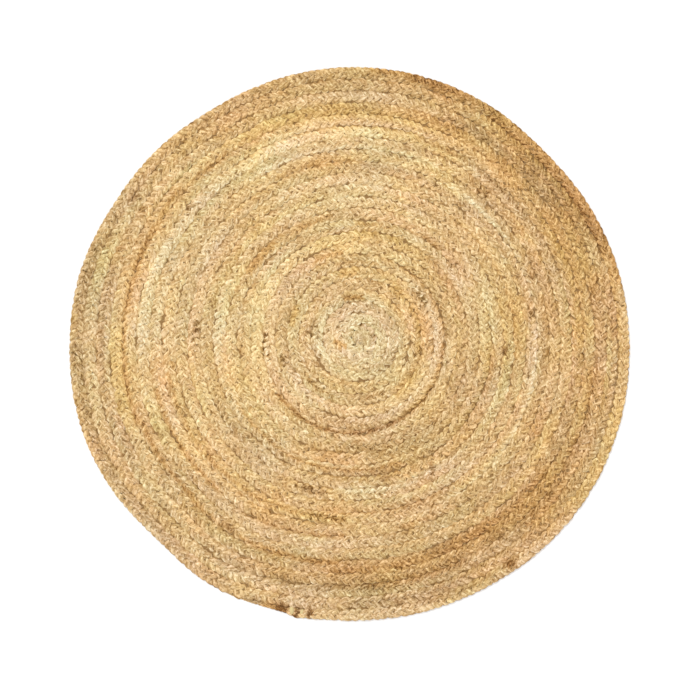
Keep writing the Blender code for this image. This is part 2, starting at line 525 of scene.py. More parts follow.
def new_piece(name, points, faces):
    """A mesh object from an array of points and a list of arrays of faces, each with its own count of
    corners."""
    mesh = bpy.data.meshes.new(name)
    corners = np.concatenate([face.ravel() for face in faces]).astype(np.int32)
    counts = np.concatenate([np.full(len(face), face.shape[1]) for face in faces])
    starts = np.concatenate([[0], np.cumsum(counts)[:-1]]).astype(np.int32)
    mesh.vertices.add(len(points))
    mesh.vertices.foreach_set("co", np.asarray(points, np.float32).ravel())
    mesh.loops.add(len(corners))
    mesh.loops.foreach_set("vertex_index", corners)
    mesh.polygons.add(len(starts))
    mesh.polygons.foreach_set("loop_start", starts)
    mesh.update(calc_edges=True)
    mesh.shade_smooth()
    piece = bpy.data.objects.new(name, mesh)
    bpy.context.scene.collection.objects.link(piece)
    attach(piece, "root")
    return piece


def corner_map(piece, name, corners):
    """Gives the piece a UV map from one pair of numbers for each face corner."""
    layer = piece.data.uv_layers.new(name=name)
    layer.data.foreach_set("uv", np.asarray(corners, np.float32).ravel())


def tube_faces(rings, sides):
    """Faces of a tube of rings of points: the quads between each two rings, and a cap at each end."""
    ring, side = np.meshgrid(np.arange(rings - 1), np.arange(sides), indexing="ij")
    start, side = ring.ravel() * sides, side.ravel()
    after = (side + 1) % sides
    quads = np.stack([start + side, start + after, start + sides + after, start + sides + side], axis=1)
    last = (rings - 1) * sides
    caps = np.array([np.arange(sides)[::-1], last + np.arange(sides)])
    return quads, caps


def tubes(lines, out, radius, sides):
    """Points and faces of many like tubes. lines holds each tube's points, out a direction across each,
    and radius their radii at each point. A ring is a circle about the line."""
    count, rings = lines.shape[:2]
    ahead = np.gradient(lines, axis=1)
    ahead /= np.linalg.norm(ahead, axis=2, keepdims=True)
    across = np.cross(ahead, np.cross(out[:, None], ahead))
    across /= np.linalg.norm(across, axis=2, keepdims=True)
    third = np.cross(ahead, across)
    turn = TURN * np.arange(sides) / sides
    ring = across[:, :, None] * np.cos(turn)[:, None] + third[:, :, None] * np.sin(turn)[:, None]
    points = lines[:, :, None] + radius[:, :, None, None] * ring
    quads, caps = tube_faces(rings, sides)
    shift = (np.arange(count) * rings * sides)[:, None, None]
    return points.reshape(-1, 3), [(quads + shift).reshape(-1, 4), (caps + shift).reshape(-1, sides)]


class Socket:
    """An output of a material's nodes. Expressions of sockets and numbers add the Math nodes for them."""

    def __init__(self, tree, output=None):
        self.tree, self.output = tree, output

    def make(self, kind, settings=None, sockets=None, output=0):
        """A new node of a kind. Its settings are set first, then the values or links of its sockets by
        name or number, and one of its outputs is handed back."""
        node = self.tree.nodes.new(kind)
        for name, value in (settings or {}).items():
            if name == "stops":
                ramp = node.color_ramp.elements
                while len(ramp) < len(value):
                    ramp.new(1.0)
                for stop, (position, colour) in zip(ramp, value):
                    stop.position, stop.color = position, (*colour, 1)
            else:
                setattr(node, name, value)
        for name, value in (sockets or {}).items():
            if isinstance(value, Socket):
                self.tree.links.new(value.output, node.inputs[name])
            else:
                node.inputs[name].default_value = value
        return Socket(self.tree, node.outputs[output])

    def calculate(self, operation, first, second):
        return self.make("ShaderNodeMath", {"operation": operation}, {0: first, 1: second})

    def __add__(self, other):
        return self.calculate("ADD", self, other)

    def __radd__(self, other):
        return self.calculate("ADD", other, self)

    def __sub__(self, other):
        return self.calculate("SUBTRACT", self, other)

    def __rsub__(self, other):
        return self.calculate("SUBTRACT", other, self)

    def __mul__(self, other):
        return self.calculate("MULTIPLY", self, other)

    def __rmul__(self, other):
        return self.calculate("MULTIPLY", other, self)


YARN_ROUGHNESS = 0.92
FLOOR_ROUGHNESS = 0.9
YARN_GLOSS = 0.25
# Streaks of the fibres along a strand: how many lie round it, their length, how much they change the tone
FINE_STREAKS, FINE_LENGTH, FINE_CONTRAST = 18, 0.006, 1.12
BROAD_STREAKS, BROAD_LENGTH, BROAD_CONTRAST = 9, 0.0045, 1.15
STREAK_DETAIL = 2
STREAK_ROUGHNESS = 0.6
# How high the streaks raise the fibres
FINE_RISE, BROAD_RISE = 0.7, 0.5
BUMP_STRENGTH, BUMP_DISTANCE = 0.8, 0.0008  # the distance in metres
# Cloudy patches over the rug: how many in a metre, how much warmer or rosier, where their noise begins
CLOUD_SCALE, CLOUD_DETAIL = 8.0, 3.0
WARM_CLOUDS, WARM_START = 1.4, 3
ROSY_CLOUDS, ROSY_START = 0.8, 7
TONE_STOPS = (0.0, 0.06, 0.33, 0.66, 1.0)  # tone of the deep painted shade and of the brown, tan, straw and pale yarn
COOL_TINT, WARM_TINT = (0.96, 1.04, 1.20), (1.04, 0.96, 0.80)
GREEN_TINT, ROSY_TINT = (0.96, 1.035, 0.93), (1.04, 0.965, 1.07)


def new_material(name, colour, roughness=YARN_ROUGHNESS):
    """A matt material of one colour, with its first socket and its surface shader."""
    material = bpy.data.materials.new(name)
    material.use_nodes = True
    surface = material.node_tree.nodes["Principled BSDF"]
    surface.inputs["Base Color"].default_value = (*colour, 1)
    surface.inputs["Roughness"].default_value = roughness
    surface.inputs["Specular IOR Level"].default_value = YARN_GLOSS
    return material, Socket(material.node_tree), surface


def yarn_material():
    """Straw yarn: the tone that each strand carries and the streaks of its fibres, along the strand, choose a
    colour between the deep painted shade of the holes and pale yarn, which a warm and a rosy tint change a
    little. The streaks also raise the fibres."""
    tone = colours()
    material, nodes, surface = new_material("jute_yarn", tone.straw)
    made = nodes.make("ShaderNodeAttribute", {"attribute_name": "yarn_tone"}, output="Color")
    light, warm, rosy = (
        nodes.make("ShaderNodeSeparateColor", None, {"Color": made}, output=part)
        for part in ("Red", "Green", "Blue")
    )
    along = nodes.make("ShaderNodeUVMap", {"uv_map": "strand_map"})

    def streaks(across, length):
        stretched = nodes.make(
            "ShaderNodeMapping", None, {"Vector": along, "Scale": (1 / length, across, 1)}
        )
        return nodes.make(
            "ShaderNodeTexNoise", None,
            {"Vector": stretched, "Scale": 1.0, "Detail": STREAK_DETAIL, "Roughness": STREAK_ROUGHNESS},
        )

    def between(factor, low, high):
        return nodes.make(
            "ShaderNodeMix", {"data_type": "RGBA"},
            {"Factor": factor, 6: (*low, 1), 7: (*high, 1)}, output=2,
        )

    def tinted(colour, tint):
        return nodes.make(
            "ShaderNodeMix", {"data_type": "RGBA", "blend_type": "MULTIPLY"},
            {"Factor": 1.0, 6: colour, 7: tint}, output=2,
        )

    place_on_rug = nodes.make("ShaderNodeTexCoord", output="Object")

    def clouds(start):
        moved = nodes.make(
            "ShaderNodeMapping", None, {"Vector": place_on_rug, "Location": (start, 0, 0)}
        )
        return nodes.make(
            "ShaderNodeTexNoise", None, {"Vector": moved, "Scale": CLOUD_SCALE, "Detail": CLOUD_DETAIL}
        ) - 0.5

    fine = streaks(FINE_STREAKS, FINE_LENGTH)
    broad = streaks(BROAD_STREAKS, BROAD_LENGTH)
    value = light + (fine - 0.5) * FINE_CONTRAST + (broad - 0.5) * BROAD_CONTRAST
    warm = warm + clouds(WARM_START) * WARM_CLOUDS
    rosy = rosy + clouds(ROSY_START) * ROSY_CLOUDS
    yarns = (tone.deep, tone.brown, tone.tan, tone.straw, tone.pale)
    plain = nodes.make("ShaderNodeValToRGB", {"stops": tuple(zip(TONE_STOPS, yarns))}, {"Fac": value})
    warmth = between(warm, COOL_TINT, WARM_TINT)
    flush = between(rosy, GREEN_TINT, ROSY_TINT)
    colour = tinted(tinted(plain, warmth), flush)
    nodes.tree.links.new(colour.output, surface.inputs["Base Color"])
    height = fine * FINE_RISE + broad * BROAD_RISE
    raised = nodes.make(
        "ShaderNodeBump", None,
        {"Strength": BUMP_STRENGTH, "Distance": BUMP_DISTANCE, "Height": height},
    )
    nodes.tree.links.new(raised.output, surface.inputs["Normal"])
    return material


# How a strand lies in the braid
STRANDS = 3
LAP = 0.065  # how far the strands reach over the braid's edge, as a share of its width
EDGE_RISE = 0.0007  # how much higher a strand lies at the braid's edge than at its middle
STRAIGHTNESS = 0.85  # of a strand between the edges: 0 is a sine wave and 1 a zigzag
FLAT_CREST = 0.8  # how soon a strand has risen beside a crossing: 1 is a sine wave and 0 a step
LEAD = 0.08  # how far along its phase a strand is when it comes up, in radians
SLANT = 0.8  # how far a ring leans along the strand in a crossing, as a share of its width
ASIDE, ASIDE_OVER = 0.04, 0.035  # how far all strands lie aside together, and the length it changes in
MIDDLE_WIDTH, EDGE_WIDENING = 0.78, 0.38  # a strand's width in the middle, and what the edges add to it

# How much a lobe, which is a strand's way from the middle to an edge and back, differs from the others
SLIP = 0.075  # how far it slips along the braid, in plaits
SWING_UNEVEN = 0.19  # how far it swings
LOBE_ASIDE = 0.095  # how far it lies aside, as a share of the braid's width
RISE_UNEVEN = 0.25
HEIGHT_UNEVEN = 0.16
WIDTH_UNEVEN, WIDTH_HELD = 0.32, 0.3  # and the share of the lobe over which the width stays
PIT_SHARE = 0.038  # of the strand's length, where it is thin and dark
PIT_THINNER, PIT_DARKER = 0.5, 0.5
CALM_TURNS = 3.0  # of the winding, over which no strand is thinned

# The rings of a strand
STRAND_SIDES = 10  # two for each of its yarns
RINGS_PER_PLAIT = 12
EDGE_CROWDING = 0.3  # how much closer the rings lie where a strand turns at the braid's edge
YARN_RISE = 0.20  # how far a ring comes in between two yarns, as a share of its half width
SQUARENESS = 0.7  # of a strand's section across it: 1 is an ellipse and 0 a box
RIM_SPREAD = 0.45  # how much wider a strand is pressed where it turns at the rim
RIM_SPREAD_OVER = 0.25  # from the braid's middle line outwards, as a share of its width
RIM_GIVE = 0.12  # share of what would stick out further that is left
NO_RIM = 1.0  # room for a strand away from the rim, in metres: more than it can take
CENTRE_SPREAD = 0.9  # how much wider a strand is in the middle of the rug, where it closes the winding
CENTRE_TURNS = 1.5  # of the winding, over which it narrows to its usual width
CLEAR_OF_FLOOR = 0.0001  # least height of a strand or a turn of yarn

# The tone of a strand: how light, warm and rosy its yarn is, from 0 to 1
COMMON_TONE = (0.714, 0.5, 0.5)
LOBE_TONES = (
    # which tone, seed, how much it changes, lobes in which it does, share of them over which it stays
    (0, 6, 0.03, 1, 0.5),
    (0, 7, 0.04, 6, 0.0),
    (1, 8, 0.14, 3, 0.0),
    (1, 9, 0.08, 1, 0.5),
    (2, 12, 0.12, 2, 0.0),
)
ROSY_CHANGE, ROSY_CHANGE_OVER = 0.12, 0.15  # in all strands together, and the length it changes in
YARN_TONES = (
    # seed, how much lighter, warmer and rosier a yarn is than the next, length in which that changes
    (30, 0.155, 0.008),
    (40, 0.03, 0.05),
    (50, 0.03, 0.03),
)
STREAK_TONES = (
    # seed, how much lighter, warmer and rosier a streak of the braid is, streaks in a round, their length
    (60, 0.09, 1.3, 0.20),
    (61, 0.26, 1.2, 0.30),
    (62, 0.25, 1.3, 0.15),
)
SHADE_BETWEEN_YARNS = 0.28  # painted shade: how much darker a strand is in the groove between two yarns
FLANK_SHADE = 0.16  # painted shade: how much darker a strand is down its sides, against its neighbours
SHADE_BELOW, SHADE_EDGE = 0.5, 0.28  # share of the braid's height up to which the strands get painted shade low down between one another, and its soft edge
# How much darker and warmer that painted shade makes the yarn
PAINTED_SHADE_DARKER, PAINTED_SHADE_WARMER = 0.22, 0.15
DARK_IS_ROSY = 0.6  # how much rosier the darker patches and bands are
ROSY_SIDE_DEG = 300  # the side of the rug towards which the yarn is a little rosier
ROSY_SIDE = 0.06  # how much rosier

# The stretches and maps of a strand
STRETCHES = ("inner", "outer")
INNER_SHARE = 0.56  # of a strand's rings, which are in its inner stretch
FIBRE_TWIST = 4.0  # turns of the fibres round a strand in a metre, against its yarns
BAKE_ROWS = 26  # of quads in the map by which the colours are baked, under one row for the caps
BAKE_GAP = 0.12  # between two rows, as a share of a row's height
BAKE_START, BAKE_WIDTH = 0.002, 0.99  # of a row, in the map's width
CAP_MIDDLES = ((0.2, 0.6), (0.4, 0.6))  # of the two caps in the last row, in cells of the map
CAP_RADIUS = 0.3
CAP_CELLS = 8.0  # in the map's width


def yarn_tone(level, angle):
    """How much lighter and how much warmer than straw the yarn is at a level and angle: the sum of the
    patches, each one a bell over angle and level, and of the bands, each one a bell across its own line,
    with soft ends."""
    degrees = np.degrees(angle)
    lighter, warmer = np.zeros_like(level), np.zeros_like(level)
    for at, middle, reach, rounds, light, warm in PATCHES:
        off = np.mod(degrees - at + 180, 360) - 180
        bell = np.exp(-((off / reach) ** 2) - ((level - middle) / rounds) ** 2)
        lighter += light * bell
        warmer += warm * bell
    for start, end, first, last, half, light, warm in BANDS:
        gone = np.mod(degrees - start, 360)
        soft = min(BAND_END_DEG, (end - start) / 2)
        line = first + (last - first) * gone / (end - start)
        bell = np.exp(-(((level - line) / half) ** 2))
        bell *= smooth(gone / soft) * smooth((end - start - gone) / soft)
        if light < 0:
            bell *= np.clip(THIN_BAND / half, 1, THIN_BAND_MOST)
        lighter += light * bell
        warmer += warm * bell
    return BAND_LIGHT * lighter, BAND_WARMTH * warmer


def loose_tone(level, angle, length):
    """How much lighter the yarn is in a loosely braided stretch: a bell across the stretch's line with soft
    ends, times a chain of holes along it, painted as dark shade, where a cosine of the length, at an uneven
    pitch, is high."""
    degrees = np.degrees(angle)
    loose = np.zeros_like(level)
    for start, end, middle, half in LOOSE:
        gone = np.mod(degrees - start, 360)
        ends = smooth(gone / LOOSE_END_DEG) * smooth((end - start - gone) / LOOSE_END_DEG)
        loose = np.maximum(loose, ends * np.exp(-(((level - middle) / half) ** 2)))
    chain = TURN * length / HOLE_PITCH + HOLE_SHIFT * wander(26, length / HOLE_SHIFT_OVER)
    hole = smooth((np.cos(chain) - HOLE_FROM) / HOLE_EDGE)
    # The holes are painted shade
    return loose * (LOBE_PALE - (LOBE_PALE + HOLE_SHADE) * hole)


class Strand:
    """One strand of the braid, as arrays with one value for each of its rings."""

    def __init__(self, number):
        """The strand's own line and the size of its section. The line goes straight from edge to edge of
        the braid with a short bend at each, as the arc sine of a little less than the sine of its phase
        does. It rises and falls with the sine of twice the phase, so it runs over the others from the
        edge to the middle and under them from the middle to the edge."""
        size = sizes()
        turns, along, plaits = braid_run()
        first, last = plaits[0] + number / STRANDS, plaits[-1] + number / STRANDS
        steps = np.arange(math.ceil(first * RINGS_PER_PLAIT), math.floor(last * RINGS_PER_PLAIT) + 1)
        even = TURN * steps / RINGS_PER_PLAIT
        self.phase = phase = even + EDGE_CROWDING / 2 * np.sin(2 * even)
        self.lobe = lobe = phase / math.pi + 1
        self.seed = seed = 100 * (number + 1)
        plait = phase / TURN - number / STRANDS + SLIP * wander(seed + 10, lobe)
        turn = np.interp(plait, plaits, turns)
        self.length = np.interp(plait, plaits, along)
        self.angle = angle = turn_angle(turn)
        inner, outer = edge_levels(turn)
        self.rounds = outer - inner
        self.width = width = np.linalg.norm(place(outer, angle) - place(inner, angle), axis=1)

        half = size.strand_width / 2
        swing = 0.5 - half + LAP
        sway = np.arcsin(STRAIGHTNESS * np.sin(phase)) / math.asin(STRAIGHTNESS)
        share = 0.5 + swing * sway * (1 + SWING_UNEVEN * wander(seed + 1, lobe))
        share += LOBE_ASIDE * wander(seed + 2, lobe)
        share += ASIDE * wander(24, self.length / ASIDE_OVER)
        self.level = np.maximum(inner + share * self.rounds, 0)

        scale = thinned(width / size.width_middle)
        over = -np.sin(2 * phase - LEAD)
        over = np.sign(over) * np.abs(over) ** FLAT_CREST
        self.relief = np.interp(self.level, *np.array(RELIEF).T)
        rise = scale * self.relief * size.crossing * over * (1 + RISE_UNEVEN * wander(seed + 3, lobe))
        rise += scale * EDGE_RISE * (np.sin(phase) ** 2 - 0.5)
        self.mid_height = scale * (size.crossing + size.strand_height / 2 + EDGE_RISE / 4)
        self.line = np.column_stack([place(self.level, angle), self.mid_height + rise])

        self.half_height = scale * size.strand_height / 2 * (1 + HEIGHT_UNEVEN * wander(seed + 4, lobe))
        self.pit = rare(seed + 11, lobe, PIT_SHARE) * (turn > CALM_TURNS)
        swell = MIDDLE_WIDTH + EDGE_WIDENING * sway**2
        half_width = half * width * swell * (1 + WIDTH_UNEVEN * wander(seed + 5, lobe, WIDTH_HELD))
        half_width *= 1 - PIT_THINNER * self.pit
        half_width *= 1 + CENTRE_SPREAD * np.clip(CENTRE_TURNS - turn, 0, 1)
        at_rim = turn > size.rounds - 1
        self.half_width = half_width * (1 + RIM_SPREAD * at_rim * smooth((share - 0.5) / RIM_SPREAD_OVER))
        self.room = np.where(at_rim, (1 - share) * width, NO_RIM)[:, None]

    def rings(self):
        """The points of each ring: a squarish ellipse across the strand's line, drawn in between each two
        of its yarns, which turns slowly along the strand with the yarns' twist. In a crossing it leans
        along the strand, and what would stick out past the rug's rim is pressed back."""
        ahead = np.gradient(self.line, axis=0)
        step = np.linalg.norm(ahead, axis=1, keepdims=True)
        ahead /= step
        self.run = np.cumsum(step[:, 0])
        out = aside(ahead)
        out /= np.linalg.norm(out, axis=1, keepdims=True)
        up = np.cross(ahead, out)
        out_share = np.sum(out * towards(self.angle), axis=1)[:, None]
        lean = SLANT * np.cos(self.phase) * np.abs(np.cos(self.phase))
        out = out - lean[:, None] * ahead

        self.corner = np.arange(STRAND_SIDES)
        side = TURN * (self.corner / STRAND_SIDES + sizes().twist * self.run[:, None])
        across, above = np.cos(side), np.sin(side)
        self.across = across = np.sign(across) * np.abs(across) ** SQUARENESS
        bulge = 1 + YARN_RISE * (0.5 - self.corner % 2)
        reach = self.half_width[:, None] * across * bulge
        reach = np.where(reach > self.room, self.room + RIM_GIVE * (reach - self.room), reach)
        self.reach_out = reach * out_share
        points = (
            self.line[:, None]
            + reach[..., None] * out[:, None]
            + (self.half_height[:, None] * above * bulge)[..., None] * up[:, None]
        )
        points[..., 2] = np.maximum(points[..., 2], CLEAR_OF_FLOOR)
        return points

    def tones(self, points):
        """The tone at each point: the sum of the strand's, the yarn's and that of its place on the rug, with
        painted shade that darkens it down the strand's sides, with the cube of how far out a point is, in the
        grooves between its yarns and in the holes of loose stretches, and that darkens and warms it low down
        between the strands."""
        strand = [np.full(len(points), common) for common in COMMON_TONE]
        for which, seed, change, lobes, held in LOBE_TONES:
            strand[which] += change * wander(self.seed + seed, self.lobe / lobes, held)
        strand[0] -= PIT_DARKER * self.pit
        strand[2] += ROSY_CHANGE * wander(23, self.length / ROSY_CHANGE_OVER)
        tone = np.repeat(np.stack(strand, axis=-1)[:, None], STRAND_SIDES, axis=1)
        for yarn in range(STRAND_SIDES // 2):
            own = [
                change * wander(self.seed + seed + yarn, self.run / over)
                for seed, change, over in YARN_TONES
            ]
            tone[:, self.corner // 2 == yarn] += np.stack(own, axis=-1)[:, None]
        # Painted shade in the grooves between the yarns
        tone[:, self.corner % 2 == 1, 0] -= SHADE_BETWEEN_YARNS
        # Painted shade down the strand's sides
        tone[..., 0] -= FLANK_SHADE * self.relief[:, None] * np.abs(self.across) ** 3

        mid_height = self.mid_height[:, None]
        # Painted shade on the low parts of the strands, down between one another
        deep = 1 - smooth((points[..., 2] / (2 * mid_height) - SHADE_BELOW) / SHADE_EDGE)
        level = self.level[:, None] + self.reach_out * (self.rounds / self.width)[:, None]
        level = np.maximum(level, 0)
        angle = np.repeat(self.angle[:, None], STRAND_SIDES, axis=1)
        length = np.repeat(self.length[:, None], STRAND_SIDES, axis=1)
        lighter, warmer = yarn_tone(level, angle)
        light_streaks, warm_streaks, rosy_streaks = (
            change * streaks_along(seed, level * across, length / over)
            for seed, change, across, over in STREAK_TONES
        )
        tone[..., 0] += lighter + light_streaks
        tone[..., 1] += warmer + warm_streaks
        tone[..., 2] += ROSY_SIDE * np.cos(angle - math.radians(ROSY_SIDE_DEG)) - DARK_IS_ROSY * lighter
        tone[..., 2] += rosy_streaks
        # Painted shade: the holes of loose stretches and the low parts between the strands are darker, and
        # the low parts warmer
        tone[..., 0] += loose_tone(level, angle, length) - PAINTED_SHADE_DARKER * deep
        tone[..., 1] += PAINTED_SHADE_WARMER * deep
        return np.concatenate([np.clip(tone, 0, 1), np.ones_like(tone[..., :1])], axis=-1)


def strand_piece(name, points, tone, material):
    """One stretch of a strand as a closed tube, with its tone, its map along and round the strand, and the
    map by which its colours are baked, in rows of equal length."""
    rings = len(points)
    quads, caps = tube_faces(rings, STRAND_SIDES)
    piece = new_piece(name, points.reshape(-1, 3), [quads, caps])
    shade = piece.data.attributes.new("yarn_tone", "FLOAT_COLOR", "POINT")
    shade.data.foreach_set("color", tone.astype(np.float32).ravel())

    ring, side = np.meshgrid(np.arange(rings - 1), np.arange(STRAND_SIDES), indexing="ij")
    ring, side = ring.ravel(), side.ravel()
    step = np.linalg.norm(np.diff(points.mean(axis=1), axis=0), axis=1)
    run = np.concatenate([[0], np.cumsum(step)])
    round_share = np.stack([side, side + 1, side + 1, side], axis=1) / STRAND_SIDES
    run_at = np.stack([run[ring], run[ring], run[ring + 1], run[ring + 1]], axis=1)
    turned = round_share + run_at * FIBRE_TWIST
    cap_share = np.tile(np.arange(STRAND_SIDES) / STRAND_SIDES, (2, 1))
    cap_run = np.array([[0.0] * STRAND_SIDES, [run[-1]] * STRAND_SIDES])
    maps = (np.stack([run_at, turned], axis=-1), np.stack([cap_run, cap_share], axis=-1))
    corner_map(piece, "strand_map", np.concatenate([part.reshape(-1, 2) for part in maps]))

    per_row = math.ceil((rings - 1) / BAKE_ROWS)
    row = ring // per_row
    in_row = ring - row * per_row
    wide = np.stack([in_row, in_row, in_row + 1, in_row + 1], axis=1)
    wide = BAKE_START + BAKE_WIDTH * wide / per_row
    high = (row[:, None] + BAKE_GAP / 2 + (1 - BAKE_GAP) * round_share) / (BAKE_ROWS + 1)
    turn = TURN * np.arange(STRAND_SIDES) / STRAND_SIDES
    circle = CAP_RADIUS * np.stack([np.cos(turn), np.sin(turn)], axis=-1)
    cells = np.array([0.0, BAKE_ROWS]) + (np.array(CAP_MIDDLES)[:, None] + circle)
    maps = (np.stack([wide, high], axis=-1), cells / np.array([CAP_CELLS, BAKE_ROWS + 1]))
    corner_map(piece, "OFBake", np.concatenate([part.reshape(-1, 2) for part in maps]))
    piece.data.materials.append(material)
    return piece


def plain_finish(piece, name, colour, roughness=YARN_ROUGHNESS):
    """Gives a piece a matt material of one colour."""
    piece.data.materials.append(new_material(name, colour, roughness)[0])


BODY_STEPS = 120  # to a round
BODY_RIB = (
    # share across the round, height in millimetres; the last row is the groove
    (0.16, 5.4),
    (0.34, 5.8),
    (0.5, 5.4),
    (0.66, 5.8),
    (0.84, 5.4),
    (1.0, 4.6),
)
BODY_INSET_MM = 3.5  # how far the last round's edge lies within the rim
BODY_SIDE_MM = (
    # outwards, height above the floor
    (0.4, 1.8),
    (-0.6, 0.4),
)


def halves(quads):
    """The two triangles of each quad, as two arrays."""
    return quads[:, [0, 1, 2]], quads[:, [0, 2, 3]]


def body_piece():
    """The rug's body under the strands. Each step along the winding has one row of points across the
    round, from the outer groove of the round before it to its own outer groove, and the last round's
    edge goes down to the floor. The steps meet in one point at the braid's tip."""
    size = sizes()
    count = math.ceil((size.rounds - START_TURN) * BODY_STEPS)
    turns = size.rounds - np.arange(count, -1, -1) / BODY_STEPS
    angle = turn_angle(turns)
    inner, outer = edge_levels(turns)
    shares, heights = np.array(BODY_RIB).T
    full = np.linalg.norm(place(outer, angle) - place(inner, angle), axis=1) / size.width_middle
    heights = heights * thinned(full)[:, None]
    level = inner[:, None] + shares * (outer - inner)[:, None]
    inset = np.zeros_like(level)
    inset[-BODY_STEPS - 1 :] = BODY_INSET_MM * MM / size.width_rim * shares
    level = np.maximum(level - inset, 0)
    steps, columns = level.shape
    flat = place(level, np.repeat(angle[:, None], columns, axis=1))
    points = np.concatenate([flat, (heights * MM)[..., None]], axis=-1).reshape(-1, 3)

    grid = np.arange(steps * columns).reshape(steps, columns)
    centre = steps * columns
    before = np.concatenate([np.full(BODY_STEPS, centre), grid[: steps - BODY_STEPS, -1]])
    tip = grid[steps - 1 - BODY_STEPS, -1]
    grid[-1] = tip
    before[-1] = tip
    lines = np.column_stack([before, grid])
    top = np.stack([lines[:-1, :-1], lines[1:, :-1], lines[1:, 1:], lines[:-1, 1:]], axis=-1).reshape(-1, 4)
    start = np.column_stack([np.full(columns, centre), lines[0, :-1], lines[0, 1:]])[1:]

    last_round = slice(-BODY_STEPS - 1, -1)
    rim = grid[last_round, -1]
    edge = points[rim, :2]
    out = towards(angle[last_round])[:, :2]
    loops = [
        np.column_stack([edge + side * MM * out, np.full(len(edge), high * MM)])
        for side, high in BODY_SIDE_MM
    ]
    middle = place(np.array([0.0]), np.array([0.0]))[0]
    above, below = ([(*middle, rows[-1][1] * MM)] for rows in (BODY_RIB, BODY_SIDE_MM))
    points = np.concatenate([points, above, *loops, below])
    rims = [rim, *(centre + 1 + i * BODY_STEPS + np.arange(BODY_STEPS) for i in range(len(loops)))]
    sides = [
        half
        for high, low in zip(rims[:-1], rims[1:])
        for half in halves(np.stack([high, np.roll(high, -1), np.roll(low, -1), low], axis=1))
    ]
    under = np.full(BODY_STEPS, len(points) - 1)
    floor = np.stack([rims[-1], np.roll(rims[-1], -1), under], axis=1)
    split = np.concatenate([*halves(top), *sides, floor, start])
    whole = (split[:, 0] != split[:, 1]) & (split[:, 1] != split[:, 2]) & (split[:, 2] != split[:, 0])
    used, renumbered = np.unique(split[whole], return_inverse=True)
    return new_piece("rug_body", points[used], [renumbered.reshape(-1, 3)])


class JUTE_OT_body(bpy.types.Operator):
    """Makes the rug's pressed body, which stands for the plain solid"""

    bl_idname = "jute.body"
    bl_label = "Rug Body"

    def execute(self, context):
        body = body_piece()
        # The body's colour is painted shade
        plain_finish(body, "shaded_jute_body", colours().body)
        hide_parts(CAD_NODE)
        return {"FINISHED"}


class JUTE_OT_strands(bpy.types.Operator):
    """Makes the three strands of the braid, each in an inner and an outer stretch"""

    bl_idname = "jute.strands"
    bl_label = "Strands"

    def execute(self, context):
        material = yarn_material()
        for number in range(STRANDS):
            strand = Strand(number)
            points = strand.rings()
            tone = strand.tones(points)
            cut = int(INNER_SHARE * len(points))
            for name, part in zip(STRETCHES, (slice(0, cut + 1), slice(cut, None))):
                piece = strand_piece(f"strand_{number + 1}_{name}", points[part], tone[part], material)
                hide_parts(CAD_NODE)
        return {"FINISHED"}


THREAD_START_TURN = 1.0
THREAD_END = 0.15  # length of braid at its end that isn't sewn
THREAD_RADIUS_MM = 0.5
THREAD_SIDES = 4
STITCH_POINTS = 5
STITCH_UNEVEN = 0.1  # how far a stitch lies from its even place, as a share of the pitch
STITCH_REACH = (0.13, 0.18)  # least and most, from the groove to its ends, in rounds
STITCH_SLANT = (0.1, 0.3)  # least and most, in fifths of a plait
STITCH_TOP_MM = 6.3
STITCH_SAG_MM = 0.9  # over the groove
STITCH_DIVE_MM = 3.2  # at its ends


class JUTE_OT_thread(bpy.types.Operator):
    """Makes the stitches that join each round to the one before it"""

    bl_idname = "jute.thread"
    bl_label = "Sewing Thread"

    def execute(self, context):
        size = sizes()
        turns, along, _ = braid_run()
        start = np.interp(THREAD_START_TURN, turns, along)
        at = np.arange(start, along[-1] - THREAD_END, size.stitch_pitch)
        count = len(at)
        random = np.random.default_rng(5)
        at += random.uniform(-STITCH_UNEVEN, STITCH_UNEVEN, count) * size.stitch_pitch
        turn = np.interp(at, along, turns)
        inner, _ = edge_levels(turn)
        share = np.linspace(-1, 1, STITCH_POINTS)
        reach = random.uniform(*STITCH_REACH, count)
        slant = random.uniform(*STITCH_SLANT, count) * size.plait_length / 5
        level = inner[:, None] + share * reach[:, None]
        angle = turn_angle(turn)[:, None] - share * slant[:, None] / (turn * size.width_middle)[:, None]
        # A stitch sags over the groove with the square of its length, and its ends dive with the sixth power
        height = (STITCH_TOP_MM - STITCH_SAG_MM * (1 - share**2) - STITCH_DIVE_MM * share**6) * MM
        height = np.broadcast_to(height, level.shape)
        lines = np.concatenate([place(level, angle), height[..., None]], axis=-1)
        up = np.tile([0.0, 0.0, 1.0], (count, 1))
        points, faces = tubes(lines, up, np.full(level.shape, THREAD_RADIUS_MM * MM), THREAD_SIDES)
        plain_finish(new_piece("sewing_thread", points, faces), "jute_thread", colours().thread)
        return {"FINISHED"}


BINDING = (
    # degrees, from and to in level, radius in millimetres, lean in degrees, of each turn of yarn
    (257.4, 22.75, 23.36, 5.4, 0.5),
    (259.5, 22.90, 23.28, 4.2, -0.3),
)
BINDING_LOW = 1.2 * MM  # height of a turn's middle line at the floor
BINDING_ARCH = 3.0 * MM  # how much higher it is at the top of its arch
BINDING_POINTS = 12
BINDING_SIDES = 12
ARCH_START = 0.15  # of half a sine wave, where the arch begins at the inner end
END_RADIUS, ARCH_RADIUS = 0.55, 0.45  # shares of the radius at an end, and added at the top of the arch


